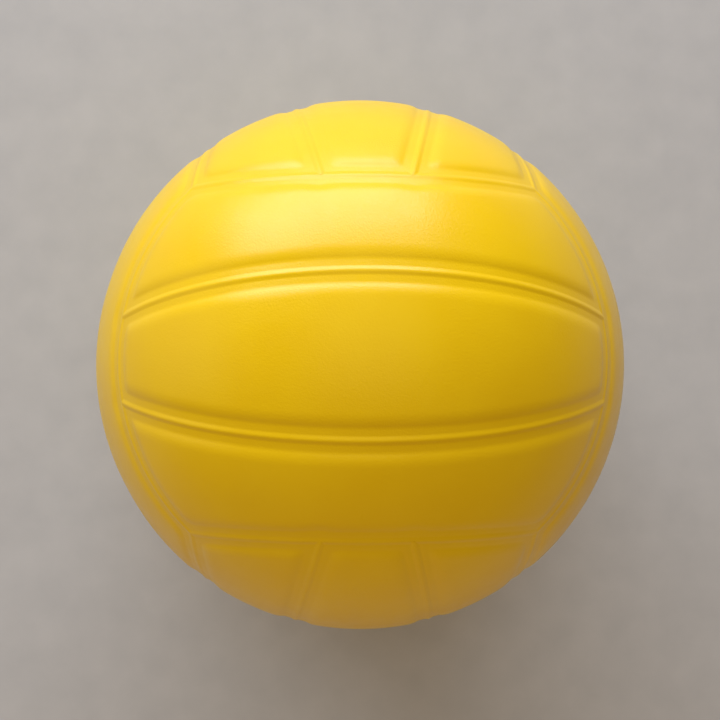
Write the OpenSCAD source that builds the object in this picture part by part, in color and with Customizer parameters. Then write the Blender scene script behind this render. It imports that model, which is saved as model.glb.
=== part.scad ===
// Inflatable rubber playground ball with eighteen raised panels.
// The origin is the ball's centre and +Z is up. The panels form six groups of three
// strips, one group round each axis direction. The strips of the top and bottom groups
// run along X, those of the front and back groups along Z, and those of the left and
// right groups along Y. The valve is in the middle strip of the back group, on +Y.

/* [Ball] */
// Diameter over the crowns of the panels
ball_d = 210; // [190:1:230]
// Thickness of a panel at its crown
panel_t = 1.8; // [1.7:0.1:2.5]
// Thickness of the smooth rubber layer under the panels
carcass_t = 0.4; // [0.4:0.1:1]
// Thickness of the layer of wound nylon thread
winding_t = 0.4; // [0.4:0.1:1]
// Thickness of the bladder's wall
bladder_t = 0.5; // [0.4:0.1:1.2]

/* [Panel pattern] */
// Angle at the ball's centre from the middle of a group to its long border
long_border_angle = 34.8; // [34:0.1:38]
// Angle at the ball's centre from the middle of a group to the seams between its strips
strip_seam_angle = 14.7; // [13:0.1:16]
// Half the width of a middle strip at its ends, as a share of the ball's radius
strip_end_share = 0.144; // [0.13:0.002:0.17]

/* [Channels] */
// Depth of the channels between panels, from crown to floor
channel_depth = 0.75; // [0.7:0.05:1.3]
// Width of a channel at half its depth
channel_w = 10.8; // [7:0.1:14]
// Height of the bead along the middle of a channel, above the floor
bead_h = 0.35; // [0.2:0.05:0.6]
// Width of the bead
bead_w = 1.8; // [1.2:0.1:2.4]

/* [Valve] */
// Diameter of the valve seat's neck, flush with the panel round it
seat_neck_d = 12; // [11:0.1:15]
// Diameter of the valve seat's flange inside the bladder
seat_flange_d = 30; // [24:1:40]
// Thickness of the flange at its rim
seat_flange_t = 1.2; // [0.8:0.1:2]
// Outside diameter of the valve seat's sleeve
seat_sleeve_d = 8.4; // [7.4:0.1:10]
// Length of the valve seat, from the ball's surface to the sleeve's inner end
seat_l = 19; // [17:0.5:20]
// Diameter of the valve plug's head
plug_head_d = 8.2; // [7:0.1:9]
// Thickness of the valve plug's head
plug_head_t = 1.5; // [1:0.1:2]
// Diameter of the valve plug's stem
plug_stem_d = 5; // [4:0.1:5.4]
// Number of sealing rings round the stem
plug_rings = 3; // [1:1:4]
// Depth of the grooves between the sealing rings
plug_groove_depth = 0.4; // [0.2:0.05:0.6]
// Length of the valve plug
plug_l = 21.5; // [21:0.5:26]
// Diameter of the channel for the inflating needle
needle_d = 1.9; // [1.6:0.1:2.2]
// Clearance on the radius between the valve plug and its seat
plug_clearance = 0.05; // [0.02:0.01:0.1]

/* [Hidden] */
$fn = 96;
// Facets of the large spheres that trim the small valve parts
trim_fn = 480;
ball_r = ball_d / 2;
panel_in_r = ball_r - panel_t;
carcass_in_r = panel_in_r - carcass_t;
winding_in_r = carcass_in_r - winding_t;
bladder_in_r = winding_in_r - bladder_t;
floor_r = ball_r - channel_depth;
bead_top_r = floor_r + bead_h;
// Crown and bead start this far inside the panel's base layer, so the three join as one solid
panel_bond = 0.2;
far = 2 * ball_d;

// Angles at the ball's centre taken up by half a channel and by half a bead
half_channel = channel_w / 2 / ball_r * 180 / PI;
half_bead = bead_w / 2 / ball_r * 180 / PI;

// Every border and seam is a plane cut of the ball. A plane is held as the tilt of its normal
// and its latitude, the angle at which it cuts the ball above the plane through the centre.
function tilt_through(p, q) = atan2(q[0] - p[0], p[1] - q[1]);
function latitude_through(p, tilt) = asin(p[0] * cos(tilt) + p[1] * sin(tilt));

// The long border of the top group, from its middle to a corner where three groups meet
corner = [1, 1] / sqrt(3);
border_mid = [sin(long_border_angle), cos(long_border_angle)];
border_tilt = tilt_through(border_mid, corner);
border_latitude = latitude_through(border_mid, border_tilt);

// The seam between two strips, from its middle to its end on the short border
end_ring = sqrt(1 - pow(strip_end_share, 2));
seam_end_angle = border_tilt + acos(sin(border_latitude) / end_ring);
seam_end = [strip_end_share, end_ring * cos(seam_end_angle)];
seam_mid = [sin(strip_seam_angle), cos(strip_seam_angle)];
seam_tilt = tilt_through(seam_mid, seam_end);
seam_latitude = latitude_through(seam_mid, seam_tilt);

// Names and places of the panels: six groups of three strips
GROUPS = ["top", "bottom", "front", "back", "right", "left"];
STRIPS = ["a", "mid", "b"];
function panel_name(group, strip) = str("panel_", GROUPS[group], "_", STRIPS[strip]);
back_mid = [3, 1];

module shell(inner, outer) {
    difference() {
        sphere(outer);
        sphere(inner);
    }
}

// Turns a +Z normal to that of the long border or strip seam on the +Y side of the top group
module long_way(tilt) {
    rotate([tilt - 90, 0, 0]) children();
}

// Turns a +Z normal to that of the short border on the +X side of the top group
module short_way(tilt) {
    rotate([0, tilt, 0]) children();
}

// All the space on one side of a plane that cuts the ball at this latitude
module above(latitude) {
    translate([-far / 2, -far / 2, ball_r * sin(latitude)]) cube(far);
}

module below(latitude) {
    translate([-far / 2, -far / 2, ball_r * sin(latitude) - far]) cube(far);
}

// The space between the two short borders of the top group, each moved in by an angle
module between_short_borders(inset) {
    intersection() {
        short_way(border_tilt) above(border_latitude + inset);
        mirror([1, 0, 0]) short_way(border_tilt) above(border_latitude + inset);
    }
}

// The outlines of the two kinds of strip, each border moved in by an angle
module mid_outline(inset) {
    intersection() {
        between_short_borders(inset);
        long_way(seam_tilt) below(seam_latitude - inset);
        mirror([0, 1, 0]) long_way(seam_tilt) below(seam_latitude - inset);
    }
}

module outer_outline(inset) {
    intersection() {
        between_short_borders(inset);
        long_way(seam_tilt) above(seam_latitude + inset);
        long_way(border_tilt) below(border_latitude - inset);
    }
}

// A strip of the top group: 0 and 2 are the outer ones on -Y and +Y, and 1 is the middle one
module outline(strip, inset) {
    if (strip == 1)
        mid_outline(inset);
    else
        mirror([0, strip == 0 ? 1 : 0, 0]) outer_outline(inset);
}

// A panel has a base layer, a raised crown, and half of the bead in each channel round it
module strip_panel(strip) {
    intersection() {
        shell(panel_in_r, floor_r);
        outline(strip, 0);
    }
    intersection() {
        shell(panel_in_r + panel_bond, ball_r);
        outline(strip, half_channel);
    }
    difference() {
        intersection() {
            shell(panel_in_r + panel_bond, bead_top_r);
            outline(strip, 0);
        }
        outline(strip, half_bead);
    }
}

// Turns a strip of the top group to the same place in another group
module to_group(group) {
    side = group % 2;
    if (group < 2)
        mirror([0, 0, side]) children();
    else if (group < 4)
        mirror([0, 1 - side, 0]) rotate([-90, -90, 0]) children();
    else
        mirror([side, 0, 0]) rotate([90, 0, 90]) children();
}

module panel(group, strip) {
    color("gold")
        difference() {
            to_group(group) strip_panel(strip);
            if ([group, strip] == back_mid)
                valve_opening();
        }
}

// From here on, along_valve() lays +Z along the valve, with 0 at the ball's surface on +Y
module along_valve() {
    translate([0, ball_r, 0]) rotate([-90, 0, 0]) children();
}

// The round hole that the valve seat's neck fills
module valve_opening() {
    along_valve() translate([0, 0, -ball_r / 2]) cylinder(h = ball_r, d = seat_neck_d);
}

module carcass_layer() {
    color("goldenrod")
        difference() {
            shell(carcass_in_r, panel_in_r);
            valve_opening();
        }
}

module winding_layer() {
    color("whitesmoke")
        difference() {
            shell(winding_in_r, carcass_in_r);
            valve_opening();
        }
}

module bladder() {
    color("dimgray")
        difference() {
            shell(bladder_in_r, winding_in_r);
            valve_opening();
        }
}

// The seat is bonded to the bladder by its flange and reaches out through every layer
module valve_seat() {
    pocket_r = plug_head_d / 2 + plug_clearance;
    stem_hole_r = plug_stem_d / 2 + plug_clearance;
    flange_edge_drop = ball_r - sqrt(pow(bladder_in_r, 2) - pow(seat_flange_d / 2, 2));
    color("khaki")
        difference() {
            union() {
                intersection() {
                    sphere(ball_r, $fn = trim_fn);
                    along_valve()
                        translate([0, 0, -flange_edge_drop])
                            cylinder(h = ball_r, d = seat_neck_d);
                }
                intersection() {
                    sphere(bladder_in_r, $fn = trim_fn);
                    along_valve()
                        translate([0, 0, -flange_edge_drop - seat_flange_t])
                            cylinder(h = ball_r, d = seat_flange_d);
                }
                along_valve()
                    translate([0, 0, -seat_l])
                        cylinder(h = seat_l - ball_r + bladder_in_r, d = seat_sleeve_d);
            }
            along_valve() translate([0, 0, -plug_head_t]) cylinder(h = far, r = pocket_r);
            along_valve() translate([0, 0, -seat_l - 1]) cylinder(h = far, r = stem_hole_r);
        }
}

// The plug has a head that lies flush in the seat, and a ringed stem with the needle channel
module valve_plug() {
    ring_pitch = (seat_l - plug_head_t) / (plug_rings + 1);
    color("gold")
        difference() {
            intersection() {
                sphere(ball_r, $fn = trim_fn);
                along_valve()
                    union() {
                        translate([0, 0, -plug_head_t]) cylinder(h = 2 * plug_head_t, d = plug_head_d);
                        translate([0, 0, -plug_l]) cylinder(h = plug_l, d = plug_stem_d);
                    }
            }
            along_valve()
                for (ring = [0:plug_rings])
                    translate([0, 0, -plug_head_t - (ring + 0.75) * ring_pitch])
                        stem_groove(ring_pitch / 2);
            along_valve() translate([0, 0, -plug_l - 1]) cylinder(h = far, d = needle_d);
        }
}

module stem_groove(width) {
    difference() {
        cylinder(h = width, r = plug_stem_d);
        translate([0, 0, -1]) cylinder(h = width + 2, r = plug_stem_d / 2 - plug_groove_depth);
    }
}

for (g = [0:5])
    for (s = [0:2])
        panel(g, s);
carcass_layer();
winding_layer();
bladder();
valve_seat();
valve_plug();
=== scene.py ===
import math

import bmesh
import bpy
import numpy as np
from mathutils import Matrix, Vector

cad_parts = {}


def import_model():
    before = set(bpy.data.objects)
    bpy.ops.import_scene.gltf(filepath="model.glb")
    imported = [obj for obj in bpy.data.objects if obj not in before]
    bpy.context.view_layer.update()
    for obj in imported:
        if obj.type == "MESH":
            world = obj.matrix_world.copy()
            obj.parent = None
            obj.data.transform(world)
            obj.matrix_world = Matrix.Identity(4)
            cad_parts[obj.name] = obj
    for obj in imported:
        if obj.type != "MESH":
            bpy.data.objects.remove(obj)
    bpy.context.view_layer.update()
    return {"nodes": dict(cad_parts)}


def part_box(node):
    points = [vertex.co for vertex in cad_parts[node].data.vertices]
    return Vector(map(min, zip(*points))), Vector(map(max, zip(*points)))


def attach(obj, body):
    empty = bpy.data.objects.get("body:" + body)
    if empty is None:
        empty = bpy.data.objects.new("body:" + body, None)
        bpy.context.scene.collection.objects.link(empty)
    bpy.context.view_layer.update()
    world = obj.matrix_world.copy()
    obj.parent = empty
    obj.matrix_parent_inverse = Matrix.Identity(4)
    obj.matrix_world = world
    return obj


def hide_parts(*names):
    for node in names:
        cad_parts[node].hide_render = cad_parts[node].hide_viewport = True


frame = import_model()

# ---------------------------------------------------------------------------------------
# Sizes, in metres. The large ones come from the CAD nodes' boxes.
# ---------------------------------------------------------------------------------------

MM = 0.001
BALL_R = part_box("panel_top_mid")[1].z
# Each layer's outer radius is the inner radius of the layer outside it
PANEL_IN_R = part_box("carcass_layer")[1].z
WINDING_IN_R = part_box("bladder")[1].z
SEAT_LOW, SEAT_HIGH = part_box("valve_seat")
PLUG_LOW, PLUG_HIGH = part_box("valve_plug")

# The panel pattern, in the angles that the CAD model is built from
LONG_BORDER_ANGLE = math.radians(34.8)
STRIP_SEAM_ANGLE = math.radians(14.7)
STRIP_END_SHARE = 0.144

# The channels between the panels, in section, with distances from the middle of a channel:
# a bead, a narrow floor, and a wall that rises quickly and rolls over slowly to the crown
CHANNEL_DEPTH = 0.75 * MM
WALL_FOOT = 3.4 * MM
WALL_STEEPEST = 4.8 * MM
WALL_TOP = 9.2 * MM
# The roll is a curve of this power of the distance from the wall's top
ROLL_POWER = 2.4
BEAD_H = 0.36 * MM
BEAD_HALF = 1.8 * MM
# Relief round a group of three strips, as a share of that between its strips
BORDER_DEPTH_SHARE = 0.9
BORDER_BEAD_SHARE = 0.7

# The valve, with the sizes that the boxes of its two nodes don't give
BLADDER_T = 0.5 * MM
NECK_R = 6.0 * MM
POCKET_R = 4.15 * MM
STEM_HOLE_R = 2.55 * MM
SLEEVE_R = 4.2 * MM
FLANGE_T = 1.2 * MM
PLUG_HEAD_T = 1.5 * MM
PLUG_STEM_R = 2.5 * MM
GROOVE_DEPTH = 0.4 * MM
GROOVES = 4
NEEDLE_R = 0.95 * MM
# Width and drop of the cover's rounded edge round the valve
ROLL_W = 1.0 * MM
ROLL_DROP = 0.3 * MM

GROUPS = ("top", "bottom", "front", "back", "right", "left")
STRIPS = ("a", "mid", "b")


# ---------------------------------------------------------------------------------------
# The panel pattern on the unit sphere
# ---------------------------------------------------------------------------------------

def unit(v):
    return v / np.linalg.norm(v, axis=-1, keepdims=True)


def group_matrix(group):
    """Carries the top group, whose strips run along X, to another group."""
    turns = {
        "top": [[1, 0, 0], [0, 1, 0], [0, 0, 1]],
        "back": [[0, 1, 0], [0, 0, 1], [1, 0, 0]],
        "right": [[0, 0, 1], [1, 0, 0], [0, 1, 0]],
    }
    opposite = {"bottom": ("top", 2), "front": ("back", 1), "left": ("right", 0)}
    if group in turns:
        return np.array(turns[group], float)
    source, axis = opposite[group]
    flip = np.eye(3)
    flip[axis, axis] = -1
    return flip @ np.array(turns[source], float)


def plane_through(p, q):
    """The tilt and latitude of a plane parallel to X through two points given as (y, z)."""
    tilt = math.atan2(q[0] - p[0], p[1] - q[1])
    return tilt, math.asin(p[0] * math.cos(tilt) + p[1] * math.sin(tilt))


CORNER = 1 / math.sqrt(3)
BORDER_MID = (math.sin(LONG_BORDER_ANGLE), math.cos(LONG_BORDER_ANGLE))
BORDER_TILT, BORDER_LAT = plane_through(BORDER_MID, (CORNER, CORNER))
END_RING = math.sqrt(1 - STRIP_END_SHARE ** 2)
END_ANGLE = BORDER_TILT + math.acos(math.sin(BORDER_LAT) / END_RING)
SEAM_MID = (math.sin(STRIP_SEAM_ANGLE), math.cos(STRIP_SEAM_ANGLE))
SEAM_END = (END_RING * math.sin(END_ANGLE), STRIP_END_SHARE, END_RING * math.cos(END_ANGLE))
SEAM_TILT, SEAM_LAT = plane_through(SEAM_MID, SEAM_END[1:])


class Arc:
    """One border or strip seam: part of a circle on the unit sphere.

    Its middle, as (y, z), and one of its ends are given in the top group, and turn carries
    them to their own group. depth and bead are the relief's shares of the full relief.
    """

    def __init__(self, tilt, latitude, middle, end, turn, depth, bead):
        self.depth = depth
        self.bead = bead
        normal = np.array([0, math.cos(tilt), math.sin(tilt)])
        ends = np.array([end, [-end[0], end[1], end[2]]], float)
        self.normal = turn @ normal
        self.latitude = latitude
        self.ends = ends @ turn.T
        middle = turn @ np.array([0, *middle])
        self.ahead = unit(middle - self.normal * (middle @ self.normal))
        self.aside = np.cross(self.normal, self.ahead)
        self.reach = abs(self.azimuth(self.ends[:1])[0])

    def azimuth(self, points):
        return np.arctan2(points @ self.aside, points @ self.ahead)

    def distance(self, points):
        """Distance over the ball's surface from each unit vector to the arc."""
        across = np.abs(np.arcsin(np.clip(points @ self.normal, -1, 1)) - self.latitude)
        to_ends = np.arccos(np.clip(points @ self.ends.T, -1, 1)).min(axis=1)
        beside = np.abs(self.azimuth(points)) <= self.reach
        return BALL_R * np.where(beside, across, to_ends)


def all_arcs():
    mirror_y = np.diag([1.0, -1.0, 1.0])
    arcs = []
    for group in GROUPS:
        for side in (np.eye(3), mirror_y):
            turn = group_matrix(group) @ side
            arcs.append(Arc(BORDER_TILT, BORDER_LAT, BORDER_MID, (CORNER,) * 3, turn,
                            BORDER_DEPTH_SHARE, BORDER_BEAD_SHARE))
            arcs.append(Arc(SEAM_TILT, SEAM_LAT, SEAM_MID, SEAM_END, turn, 1, 1))
    return arcs


ARCS = all_arcs()


def wall(distance):
    """Share of the panel's height, from 0 on the channel's floor to 1 on the crown.

    A parabola rises from the foot and meets the roll at the knee, where both have the same
    height and slope.
    """
    t = np.clip((distance - WALL_FOOT) / (WALL_TOP - WALL_FOOT), 0, 1)
    knee = (WALL_STEEPEST - WALL_FOOT) / (WALL_TOP - WALL_FOOT)
    foot = 1 / (knee ** 2 + 2 * knee * (1 - knee) / ROLL_POWER)
    roll = 2 * foot * knee / (ROLL_POWER * (1 - knee) ** (ROLL_POWER - 1))
    return np.where(t < knee, foot * t ** 2, 1 - roll * (1 - t) ** ROLL_POWER)


def cover_radius(points):
    """The cover's outer radius in the direction of each unit vector."""
    crown = np.ones(len(points))
    bead = np.zeros(len(points))
    for arc in ARCS:
        distance = arc.distance(points)
        crown *= 1 - arc.depth * (1 - wall(distance))
        rise = 0.5 + 0.5 * np.cos(np.pi * np.clip(distance / BEAD_HALF, 0, 1))
        bead = np.maximum(bead, arc.bead * rise)
    return BALL_R - CHANNEL_DEPTH * (1 - crown) + BEAD_H * bead - valve_roll(points)


def valve_roll(points):
    """How far the cover drops below the crown where it rolls into the valve's hole."""
    from_axis = BALL_R * np.arccos(np.clip(points[:, 1], -1, 1))
    t = np.clip(1 - (from_axis - NECK_R) / ROLL_W, 0, 1)
    return ROLL_DROP * t ** 2


def cover_normals(points):
    """The outer surface's normal in the direction of each unit vector, by small steps."""
    step = 0.05 * MM / BALL_R
    near_pole = np.abs(points[:, 2:]) >= 0.8
    helper = np.where(near_pole, [[1.0, 0, 0]], [[0, 0, 1.0]])
    east = unit(np.cross(helper, points))
    north = np.cross(points, east)

    def place(offset):
        direction = unit(points + offset)
        return direction * cover_radius(direction)[:, None]

    along = place(step * east) - place(-step * east)
    up = place(step * north) - place(-step * north)
    return unit(np.cross(along, up))


# ---------------------------------------------------------------------------------------
# Mesh helpers
# ---------------------------------------------------------------------------------------

def mesh_object(name, vertices, faces, material, loop_normals=None):
    mesh = bpy.data.meshes.new(name)
    mesh.from_pydata([tuple(v) for v in vertices], [], [tuple(f) for f in faces])
    mesh.polygons.foreach_set("use_smooth", [True] * len(mesh.polygons))
    if loop_normals is not None:
        mesh.normals_split_custom_set([tuple(n) for n in loop_normals])
    mesh.materials.append(material)
    mesh.update()
    piece = bpy.data.objects.new(name, mesh)
    bpy.context.scene.collection.objects.link(piece)
    return piece


def hand_over(piece, body, node):
    """The piece rides on a body and stands for a CAD node, whose own part is hidden."""
    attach(piece, body)
    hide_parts(node)


# ---------------------------------------------------------------------------------------
# Materials. Scales of noise are in cycles per metre.
# ---------------------------------------------------------------------------------------

# Most of a noise texture's values lie between these two
NOISE_LOW = 0.3
NOISE_HIGH = 0.7

# Moulded rubber: patches of shade and of gloss, slight waves, and a fine grain
MOTTLE_SCALE = 45
GLOSS_SCALE = 160
WAVE_SCALE = 140
WAVE_STRENGTH = 0.2
WAVE_H = 0.06 * MM
GRAIN_SCALE = 1300
GRAIN_ROUGHNESS = 0.65
GRAIN_H = 0.14 * MM
RUBBER_IOR = 1.44

# Wound thread: the spacing and relief of its strands, how much they wander, and their gloss
STRAND_W = 0.5 * MM
STRAND_H = 0.15 * MM
STRAND_STRENGTH = 0.8
STRAND_WANDER = 0.6
THREAD_GLOSS_SCALE = 300
THREAD_ROUGHNESS = (0.45, 0.6)
WINDING_TILTS = ((0.3, 0.2, 0), (1.2, 0.5, 0.4), (-0.7, 1.1, 0.9))


def new_material(name):
    material = bpy.data.materials.new(name)
    material.use_nodes = True
    nodes = material.node_tree.nodes
    return material, nodes, material.node_tree.links, nodes["Principled BSDF"]


def noise(nodes, links, scale, detail=2.0, roughness=0.5):
    """A noise texture fixed to the ball, with its scale in cycles per metre."""
    coordinates = nodes.new("ShaderNodeTexCoord")
    texture = nodes.new("ShaderNodeTexNoise")
    texture.inputs["Scale"].default_value = scale
    texture.inputs["Detail"].default_value = detail
    texture.inputs["Roughness"].default_value = roughness
    links.new(coordinates.outputs["Object"], texture.inputs["Vector"])
    return texture.outputs["Fac"]


def spread(nodes, links, value, low, high):
    """Maps a noise value to the range from low to high."""
    ranger = nodes.new("ShaderNodeMapRange")
    ranger.inputs["From Min"].default_value = NOISE_LOW
    ranger.inputs["From Max"].default_value = NOISE_HIGH
    ranger.inputs["To Min"].default_value = low
    ranger.inputs["To Max"].default_value = high
    links.new(value, ranger.inputs["Value"])
    return ranger.outputs["Result"]


def mix_colors(nodes, links, factor, first, second):
    mixer = nodes.new("ShaderNodeMix")
    mixer.data_type = "RGBA"
    links.new(factor, mixer.inputs["Factor"])
    for name, color in (("A", first), ("B", second)):
        socket = [s for s in mixer.inputs if s.name == name and s.type == "RGBA"][0]
        socket.default_value = (*color, 1)
    return [s for s in mixer.outputs if s.type == "RGBA"][0]


def bump(nodes, links, height, strength, distance, under=None):
    node = nodes.new("ShaderNodeBump")
    node.inputs["Strength"].default_value = strength
    node.inputs["Distance"].default_value = distance
    links.new(height, node.inputs["Height"])
    if under is not None:
        links.new(under, node.inputs["Normal"])
    return node.outputs["Normal"]


def rubber(name, light, dark, roughness, grain):
    """Moulded rubber: two shades in a soft mottle, an uneven gloss, slight waves and a grain.

    roughness is a pair, the lowest and the highest, and grain is the strength of the grain.
    """
    material, nodes, links, shader = new_material(name)
    mottle = spread(nodes, links, noise(nodes, links, MOTTLE_SCALE, 3), 0, 1)
    links.new(mix_colors(nodes, links, mottle, light, dark), shader.inputs["Base Color"])
    gloss = noise(nodes, links, GLOSS_SCALE, 4)
    links.new(spread(nodes, links, gloss, *roughness), shader.inputs["Roughness"])
    waves = bump(nodes, links, noise(nodes, links, WAVE_SCALE, 2), WAVE_STRENGTH, WAVE_H)
    fine_noise = noise(nodes, links, GRAIN_SCALE, 3, GRAIN_ROUGHNESS)
    fine = bump(nodes, links, fine_noise, grain, GRAIN_H, waves)
    links.new(fine, shader.inputs["Normal"])
    shader.inputs["IOR"].default_value = RUBBER_IOR
    return material


def thread(name, light, dark):
    """Nylon thread wound in three directions: rows of round strands, with painted shade in the
    grooves where they meet.
    """
    material, nodes, links, shader = new_material(name)
    coordinates = nodes.new("ShaderNodeTexCoord")
    height = None
    for tilt in WINDING_TILTS:
        turned = nodes.new("ShaderNodeMapping")
        turned.inputs["Rotation"].default_value = tilt
        links.new(coordinates.outputs["Object"], turned.inputs["Vector"])
        rows = nodes.new("ShaderNodeTexWave")
        # At a scale of 1, the rows of a wave texture are a tenth of pi apart
        rows.inputs["Scale"].default_value = math.pi / 10 / STRAND_W
        rows.inputs["Distortion"].default_value = STRAND_WANDER
        links.new(turned.outputs["Vector"], rows.inputs["Vector"])
        if height is None:
            height = rows.outputs["Fac"]
        else:
            top = nodes.new("ShaderNodeMath")
            top.operation = "MAXIMUM"
            links.new(height, top.inputs[0])
            links.new(rows.outputs["Fac"], top.inputs[1])
            height = top.outputs["Value"]
    # Painted shade: the base colour runs from light on the strands' tops to dark in the grooves
    # between them
    links.new(mix_colors(nodes, links, height, dark, light), shader.inputs["Base Color"])
    links.new(bump(nodes, links, height, STRAND_STRENGTH, STRAND_H), shader.inputs["Normal"])
    gloss = spread(nodes, links, noise(nodes, links, THREAD_GLOSS_SCALE), *THREAD_ROUGHNESS)
    links.new(gloss, shader.inputs["Roughness"])
    return material


COVER_RUBBER = rubber(
    "cover_rubber",
    light=(0.78, 0.545, 0.003),
    dark=(0.76, 0.518, 0.002),
    roughness=(0.28, 0.35),
    grain=0.5,
)
CARCASS_RUBBER = rubber(
    "carcass_rubber",
    light=(0.42, 0.26, 0.02),
    dark=(0.36, 0.21, 0.02),
    roughness=(0.6, 0.75),
    grain=0.5,
)
BLADDER_RUBBER = rubber(
    "bladder_rubber",
    light=(0.03, 0.03, 0.032),
    dark=(0.015, 0.015, 0.016),
    roughness=(0.5, 0.8),
    grain=0.5,
)
SEAT_RUBBER = rubber(
    "seat_rubber",
    light=(0.66, 0.42, 0.02),
    dark=(0.60, 0.37, 0.015),
    roughness=(0.35, 0.45),
    grain=0.3,
)
PLUG_RUBBER = rubber(
    "plug_rubber",
    light=(0.74, 0.64, 0.38),
    dark=(0.68, 0.58, 0.34),
    roughness=(0.3, 0.42),
    grain=0.3,
)
# The winding thread's dark colour is painted shade for the grooves between its strands; its light
# colour is the thread's own
THREAD = thread("winding_thread", light=(0.75, 0.73, 0.67), dark=(0.50, 0.46, 0.38))


# ---------------------------------------------------------------------------------------
# Cover panels
# ---------------------------------------------------------------------------------------

# Distances of the mesh's lines from each border, over the bead, the channel's floor, the
# wall and its roll
BORDER_LINES = np.concatenate([
    np.linspace(0, BEAD_HALF, 8),
    np.linspace(BEAD_HALF, WALL_FOOT, 4)[1:],
    np.linspace(WALL_FOOT, WALL_STEEPEST, 4)[1:],
    np.linspace(WALL_STEEPEST, WALL_TOP, 8)[1:],
])
# Lines over the rest of a strip, along it and across it
MIDDLE_ROWS = 12
MIDDLE_COLUMNS = 64

# The ends of a strip's rows are found by halving the range from 0 to this angle over and over
END_SEARCH_TOP = math.radians(60)
END_SEARCH_STEPS = 40


def seam_angle(phi, tilt, latitude):
    """Angle from +Z, in the YZ plane, of a long border or seam at an angle phi from that plane."""
    return np.arcsin(np.clip(np.sin(latitude) / np.cos(phi), -1, 1)) - tilt


def strip_edges(strip, phi):
    """The angles of a strip's two long edges, lowest first."""
    seam = seam_angle(phi, SEAM_TILT, SEAM_LAT)
    border = seam_angle(phi, BORDER_TILT, BORDER_LAT)
    return {"a": (-border, -seam), "mid": (-seam, seam), "b": (seam, border)}[strip]


def row_angle(strip, row, phi):
    """Angle of the mesh's rows across a strip. The first and last rows run along its edges."""
    low, high = strip_edges(strip, phi)
    inward = BORDER_LINES / (BALL_R * np.cos(phi)[..., None])
    from_low = low[..., None] + inward
    from_high = (high[..., None] - inward)[..., ::-1]
    share = np.linspace(0, 1, MIDDLE_ROWS + 2)[1:-1]
    middle = from_low[..., -1:] + (from_high[..., :1] - from_low[..., -1:]) * share
    lines = np.concatenate([from_low, middle, from_high], axis=-1)
    return lines[np.arange(len(lines)), row]


def direction(phi, theta):
    """Unit vectors at an angle phi from the YZ plane, and theta from +Z within that plane."""
    return np.stack([np.sin(phi), np.cos(phi) * np.sin(theta), np.cos(phi) * np.cos(theta)], -1)


def strip_grid(strip):
    """Unit vectors of a strip's mesh, as columns along the strip by rows across it."""
    rows = 2 * len(BORDER_LINES) + MIDDLE_ROWS
    short_normal = np.array([math.sin(BORDER_TILT), 0, math.cos(BORDER_TILT)])
    row = np.tile(np.arange(rows), len(BORDER_LINES))
    target = np.repeat(BORDER_LINES, rows)
    low = np.zeros(len(row))
    high = np.full(len(row), END_SEARCH_TOP)
    for _ in range(END_SEARCH_STEPS):
        phi = (low + high) / 2
        points = direction(phi, row_angle(strip, row, phi))
        from_border = np.arcsin(np.clip(points @ short_normal, -1, 1)) - BORDER_LAT
        inside = BALL_R * from_border > target
        low = np.where(inside, phi, low)
        high = np.where(inside, high, phi)
    ends = low.reshape(len(BORDER_LINES), rows)
    share = np.linspace(-1, 1, MIDDLE_COLUMNS + 2)[1:-1]
    middle = share[:, None] * ends[-1][None, :]
    phi = np.concatenate([-ends, middle, ends[::-1]])
    columns = len(phi)
    row = np.tile(np.arange(rows), columns)
    flat = phi.reshape(-1)
    return direction(flat, row_angle(strip, row, flat)).reshape(columns, rows, 3)


def grid_quads(columns, rows, keep=None):
    quads = []
    for i in range(columns - 1):
        for j in range(rows - 1):
            if keep is None or keep[i, j]:
                a = i * rows + j
                quads.append((a, a + rows, a + rows + 1, a + 1))
    return quads


def border_loop(columns, rows):
    """The grid's outer edge, in the order that walks round its quads."""
    low = [i * rows for i in range(columns)]
    far = [(columns - 1) * rows + j for j in range(1, rows)]
    high = [i * rows + rows - 1 for i in range(columns - 2, -1, -1)]
    near = list(range(rows - 2, 0, -1))
    return low + far + high + near


# Half the width of the block of the grid that gives way to rings round the valve's hole
HOLE_BLOCK = 10.5 * MM
HOLE_RINGS = 8
# Above 1, the rings lie closer together towards the hole
RING_CROWDING = 1.6


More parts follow.
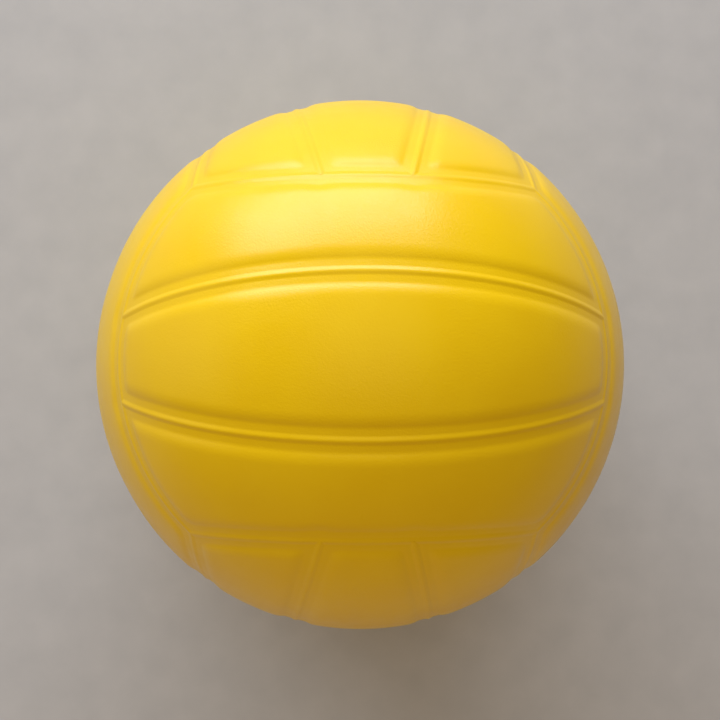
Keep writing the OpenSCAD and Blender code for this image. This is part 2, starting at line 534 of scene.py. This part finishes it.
def cut_valve_hole(points, columns, rows):
    """Opens a round hole at the middle of a strip of the top group, with rings round it.

    Returns the points, the quads, and the loop of points round the hole.
    """
    flat = points.reshape(-1, 3)
    centre = np.array([0, 0, 1.0])
    near = (np.abs(points[:, :, :2]) * BALL_R).max(axis=2) < HOLE_BLOCK
    cells = near[:-1, :-1] & near[1:, :-1] & near[:-1, 1:] & near[1:, 1:]
    i_on, j_on = np.nonzero(cells)
    i0, i1, j0, j1 = i_on.min(), i_on.max() + 1, j_on.min(), j_on.max() + 1
    keep = np.ones((columns - 1, rows - 1), bool)
    keep[i0:i1, j0:j1] = False
    loop = [(i, j0) for i in range(i0, i1)] + [(i1, j) for j in range(j0, j1)]
    loop += [(i, j1) for i in range(i1, i0, -1)] + [(i0, j) for j in range(j1, j0, -1)]
    outer = [i * rows + j for i, j in loop]
    rim_angle = NECK_R / BALL_R
    extra = []
    rings = [outer]
    start = flat[outer]
    bearing = np.arctan2(start[:, 1], start[:, 0])
    around = np.stack([np.cos(bearing), np.sin(bearing), np.zeros(len(outer))], 1)
    rim = around * math.sin(rim_angle) + centre * math.cos(rim_angle)
    count = len(flat)
    for k in range(1, HOLE_RINGS + 1):
        share = 1 - (1 - k / HOLE_RINGS) ** RING_CROWDING
        ring = unit(start * (1 - share) + rim * share)
        extra.append(ring)
        rings.append(list(range(count, count + len(outer))))
        count += len(outer)
    quads = grid_quads(columns, rows, keep)
    n = len(outer)
    for a, b in zip(rings, rings[1:]):
        quads += [(a[m], a[(m + 1) % n], b[(m + 1) % n], b[m]) for m in range(n)]
    used = sorted({v for q in quads for v in q})
    renumber = {v: k for k, v in enumerate(used)}
    every = np.concatenate([flat] + extra)[used]
    quads = [tuple(renumber[v] for v in q) for q in quads]
    return every, quads, [renumber[v] for v in rings[-1]]


def panel_normals(points, vertices, faces, outer_count):
    """Normals of the corners of a panel's faces: the outer ones, the inner ones, then the walls."""
    sides_start = 2 * outer_count
    normals = np.empty((len(faces), 4, 3))
    normals[:outer_count] = cover_normals(points)[faces[:outer_count]]
    normals[outer_count:sides_start] = -points[faces[outer_count:sides_start] - len(points)]
    sides = vertices[faces[sides_start:]]
    side_normals = unit(np.cross(sides[:, 2] - sides[:, 0], sides[:, 3] - sides[:, 1]))
    normals[sides_start:] = side_normals[:, None, :]
    return normals.reshape(-1, 3)


def panel(group, strip, with_hole):
    """A closed shell: the relief outside, the carcass's sphere inside, and walls between."""
    grid = strip_grid(strip)
    columns, rows = grid.shape[:2]
    flat = grid.reshape(-1, 3)
    border = border_loop(columns, rows)
    if with_hole:
        points, quads, hole = cut_valve_hole(grid, columns, rows)
        kept = {tuple(np.round(p, 9)): k for k, p in enumerate(points)}
        loops = [[kept[tuple(np.round(flat[v], 9))] for v in border], hole[::-1]]
    else:
        points = flat
        quads = grid_quads(columns, rows)
        loops = [border]
    turn = group_matrix(group)
    points = points @ turn.T
    if np.linalg.det(turn) < 0:
        quads = [q[::-1] for q in quads]
        loops = [loop[::-1] for loop in loops]
    count = len(points)
    outer = points * cover_radius(points)[:, None]
    inner = points * PANEL_IN_R
    faces = list(quads) + [tuple(v + count for v in q[::-1]) for q in quads]
    for loop in loops:
        following = loop[1:] + loop[:1]
        faces += [(a, a + count, b + count, b) for a, b in zip(loop, following)]
    vertices = np.concatenate([outer, inner])
    normals = panel_normals(points, vertices, np.array(faces), len(quads))
    piece = mesh_object(f"cover_{group}_{strip}", vertices, faces, COVER_RUBBER, normals)
    hand_over(piece, "ball", f"panel_{group}_{strip}")


for group in GROUPS:
    for strip in STRIPS:
        panel(group, strip, with_hole=(group, strip) == ("back", "mid"))


# ---------------------------------------------------------------------------------------
# Valve. A profile lists points as (distance from the valve's axis, height above the ball's
# surface on +Y), and goes once round the section of a piece that has a hole through it.
# ---------------------------------------------------------------------------------------

TURNS = 72
SEAT_ROUNDING = 0.4 * MM
PLUG_ROUNDING = 0.3 * MM
# The most of an edge that the curve at one of its corners may take
CORNER_SHARE = 0.45


def sphere_height(radius, distance):
    """Height of a sphere about the ball's centre at a distance from the valve's axis."""
    return math.sqrt(radius ** 2 - distance ** 2) - BALL_R


def rounded(corners, radius, steps=5):
    """A closed profile with each corner replaced by a curve that starts about radius from it."""
    count = len(corners)
    profile = []
    for k in range(count):
        corner = Vector(corners[k])
        before = Vector(corners[k - 1]) - corner
        after = Vector(corners[(k + 1) % count]) - corner
        start = corner + before.normalized() * min(radius, before.length * CORNER_SHARE)
        end = corner + after.normalized() * min(radius, after.length * CORNER_SHARE)
        for step in range(steps + 1):
            t = step / steps
            profile.append(start * (1 - t) ** 2 + corner * 2 * t * (1 - t) + end * t ** 2)
    return profile


def lathe(name, profile, material):
    """Turns a closed profile round the valve's axis."""
    vertices = []
    for turn in range(TURNS):
        angle = 2 * math.pi * turn / TURNS
        for distance, height in profile:
            x = distance * math.cos(angle)
            z = distance * math.sin(angle)
            vertices.append((x, BALL_R + height, z))
    count = len(profile)
    faces = []
    for turn in range(TURNS):
        this = turn * count
        following = (turn + 1) % TURNS * count
        for k in range(count):
            after = (k + 1) % count
            faces.append((this + k, following + k, following + after, this + after))
    piece = mesh_object(name, vertices, faces, material)
    form = bmesh.new()
    form.from_mesh(piece.data)
    bmesh.ops.recalc_face_normals(form, faces=form.faces)
    form.to_mesh(piece.data)
    form.free()
    return piece


def valve_seat():
    """A neck with a rounded rim, a thin domed flange bonded under the bladder, and a sleeve."""
    bladder_in_r = WINDING_IN_R - BLADDER_T
    flange_r = SEAT_HIGH.x
    flange_edge = sphere_height(bladder_in_r, flange_r)
    flange_low = flange_edge - FLANGE_T
    flange_rim = flange_edge - 0.4 * FLANGE_T
    sleeve_low = SEAT_LOW.y - BALL_R
    sleeve_fillet = 1.6 * MM
    corners = [
        (POCKET_R, sphere_height(BALL_R, POCKET_R)),
        (NECK_R, sphere_height(BALL_R, NECK_R)),
        (NECK_R, sphere_height(bladder_in_r, NECK_R)),
    ]
    for share in (0.25, 0.5, 0.75, 1.0):
        distance = NECK_R + (flange_r - NECK_R) * share
        corners.append((distance, sphere_height(bladder_in_r, distance)))
    corners += [
        (flange_r, flange_rim),
        (SLEEVE_R + sleeve_fillet, flange_low),
        (SLEEVE_R, flange_low - sleeve_fillet),
        (SLEEVE_R, sleeve_low),
        (STEM_HOLE_R, sleeve_low),
        (STEM_HOLE_R, -PLUG_HEAD_T),
        (POCKET_R, -PLUG_HEAD_T),
    ]
    piece = lathe("valve_boot", rounded(corners, SEAT_ROUNDING), SEAT_RUBBER)
    hand_over(piece, "ball", "valve_seat")


def valve_plug():
    """A domed head with a funnel for the needle, a stem with rounded rings, and a tapered nose."""
    head_r = PLUG_HIGH.x
    mid_r = 0.6 * head_r
    nose = PLUG_LOW.y - BALL_R
    nose_r = 1.7 * MM
    nose_l = 2.0 * MM
    funnel_r = 1.7 * MM
    funnel_depth = 0.7 * MM
    sleeve_end = SEAT_LOW.y - BALL_R
    pitch = (-PLUG_HEAD_T - sleeve_end) / GROOVES
    slope = 0.4 * GROOVE_DEPTH
    corners = [
        (funnel_r, sphere_height(BALL_R, funnel_r)),
        (mid_r, sphere_height(BALL_R, mid_r)),
        (head_r, sphere_height(BALL_R, head_r)),
        (head_r, -PLUG_HEAD_T),
        (PLUG_STEM_R, -PLUG_HEAD_T),
    ]
    for groove in range(GROOVES):
        top = -PLUG_HEAD_T - (groove + 0.25) * pitch
        corners += [
            (PLUG_STEM_R, top),
            (PLUG_STEM_R - GROOVE_DEPTH, top - slope),
            (PLUG_STEM_R - GROOVE_DEPTH, top - pitch / 2 + slope),
            (PLUG_STEM_R, top - pitch / 2),
        ]
    corners += [
        (PLUG_STEM_R, nose + nose_l),
        (nose_r, nose),
        (NEEDLE_R, nose),
        (NEEDLE_R, -funnel_depth),
    ]
    piece = lathe("valve_stopper", rounded(corners, PLUG_ROUNDING), PLUG_RUBBER)
    hand_over(piece, "valve_plug", "valve_plug")


valve_seat()
valve_plug()


# ---------------------------------------------------------------------------------------
# Inner layers that keep their CAD shape
# ---------------------------------------------------------------------------------------

for node, material in (("carcass_layer", CARCASS_RUBBER), ("bladder", BLADDER_RUBBER),
                       ("winding_layer", THREAD)):
    slots = frame["nodes"][node].data.materials
    slots.clear()
    slots.append(material)


# ---------------------------------------------------------------------------------------
# Floor, lights and camera
# ---------------------------------------------------------------------------------------

FLOOR_HALF = 1.6
FLOOR_LIGHT = (0.42, 0.445, 0.49)
FLOOR_DARK = (0.39, 0.415, 0.46)
FLOOR_ROUGHNESS = 0.8
FLOOR_MOTTLE_SCALE = 60

# The surroundings, as the surfaces are lit by them and as the camera sees them
WORLD_GLOW = (1.0, 0.61, 0.25)
WORLD_SEEN = (1.2, 1.18, 1.16)
WORLD_STRENGTH = 0.29

# The colour of the low fill light
WARM_FILL = (1.0, 0.7, 0.25)

# The camera stands almost straight above the ball, with the image's top towards +Y
CAMERA_DISTANCE = 3.832 * BALL_R
CAMERA_LEAN_LEFT = math.radians(1.56)
CAMERA_LEAN_NEAR = math.radians(1.6)
CAMERA_TARGET = (0, 1.8 * MM, 0)
CAMERA_LENS = 48.9
CAMERA_SENSOR = 36


def floor():
    signs = ((-1, -1), (1, -1), (1, 1), (-1, 1))
    corners = [(x * FLOOR_HALF, y * FLOOR_HALF, -BALL_R) for x, y in signs]
    material, nodes, links, shader = new_material("floor")
    tone = spread(nodes, links, noise(nodes, links, FLOOR_MOTTLE_SCALE, 5), 0, 1)
    color = mix_colors(nodes, links, tone, FLOOR_LIGHT, FLOOR_DARK)
    links.new(color, shader.inputs["Base Color"])
    shader.inputs["Roughness"].default_value = FLOOR_ROUGHNESS
    mesh_object("floor", corners, [(0, 1, 2, 3)], material)


def aim(place, target, up):
    """A rotation at place whose -Z looks at target, with +Y as near to up as it can be."""
    back = (place - target).normalized()
    right = up.cross(back).normalized()
    rotation = Matrix((right, back.cross(right), back)).transposed()
    return Matrix.Translation(place) @ rotation.to_4x4()


def area_light(name, place, target, width, height, power):
    """A soft rectangular light that shines from its place towards a target."""
    data = bpy.data.lights.new(name, "AREA")
    data.shape = "RECTANGLE"
    data.size = width
    data.size_y = height
    data.energy = power
    light = bpy.data.objects.new(name, data)
    light.matrix_world = aim(Vector(place), Vector(target), Vector((0, 0, 1)))
    bpy.context.scene.collection.objects.link(light)
    return light


def world():
    scene_world = bpy.data.worlds.new("studio")
    scene_world.use_nodes = True
    nodes = scene_world.node_tree.nodes
    links = scene_world.node_tree.links
    background = nodes["Background"]
    seen = nodes.new("ShaderNodeLightPath").outputs["Is Camera Ray"]
    color = mix_colors(nodes, links, seen, WORLD_GLOW, WORLD_SEEN)
    links.new(color, background.inputs["Color"])
    background.inputs["Strength"].default_value = WORLD_STRENGTH
    bpy.context.scene.world = scene_world


def camera():
    data = bpy.data.cameras.new("camera")
    data.sensor_width = CAMERA_SENSOR
    data.lens = CAMERA_LENS
    lean = Vector((-math.sin(CAMERA_LEAN_LEFT), -math.sin(CAMERA_LEAN_NEAR), 1)).normalized()
    item = bpy.data.objects.new("camera", data)
    item.matrix_world = aim(lean * CAMERA_DISTANCE, Vector(CAMERA_TARGET), Vector((0, 1, 0)))
    bpy.context.scene.collection.objects.link(item)
    bpy.context.scene.camera = item


bpy.context.scene.view_settings.view_transform = "Standard"
floor()
area_light("window", (-0.38, 1.83, 0.80), (0, 0, 0.02), width=2.6, height=1.2, power=60)
area_light("left_fill", (-1.5, 0.2, 0.5), (0, 0, 0), width=1.0, height=1.0, power=1.5)
overhead = area_light("overhead", (0, 0.3, 2.0), (0, 0, 0), width=1.5, height=1.5, power=10.5)
overhead.visible_glossy = False
low_fill = area_light("low_fill", (-0.3, -1.45, 0.35), (0, 0, 0), width=2.2, height=1.0, power=4.6)
low_fill.visible_glossy = False
low_fill.data.color = WARM_FILL
world()
camera()
